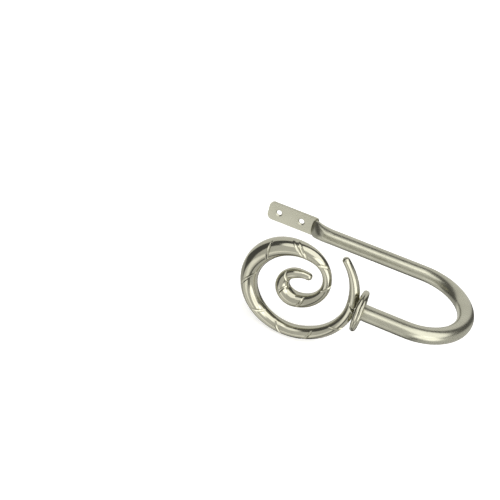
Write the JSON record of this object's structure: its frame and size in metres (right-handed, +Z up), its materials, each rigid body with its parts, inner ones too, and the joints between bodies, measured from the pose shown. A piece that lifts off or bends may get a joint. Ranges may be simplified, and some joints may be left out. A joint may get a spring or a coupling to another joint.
{
  "type": "curtain holdback",
  "caption": "U-bent tube arm with a flattened screw tab and a cast spiral finial on a crossed-strand collar, fixed beside a window to hold a drawn curtain.",
  "frame": {"origin": "midway between the two screw holes, on the back face of the tab (the wall plane)", "axes": "+X along the legs from the tab to the bend, +Y into the wall, +Z up"},
  "size_m": [0.2362, 0.13, 0.1117],
  "materials": {
    "tube_nickel": "satin nickel plate on drawn steel tube",
    "cast_nickel": "satin nickel plate on a zinc casting",
    "plain_steel": "plain zinc-plated steel"
  },
  "bodies": {
    "root": {"tube_arm": "tube_nickel", "scroll_finial": "cast_nickel", "knot_collar": "cast_nickel", "threaded_plug": "plain_steel", "threaded_stud": "plain_steel"}
  },
  "joints": []
}
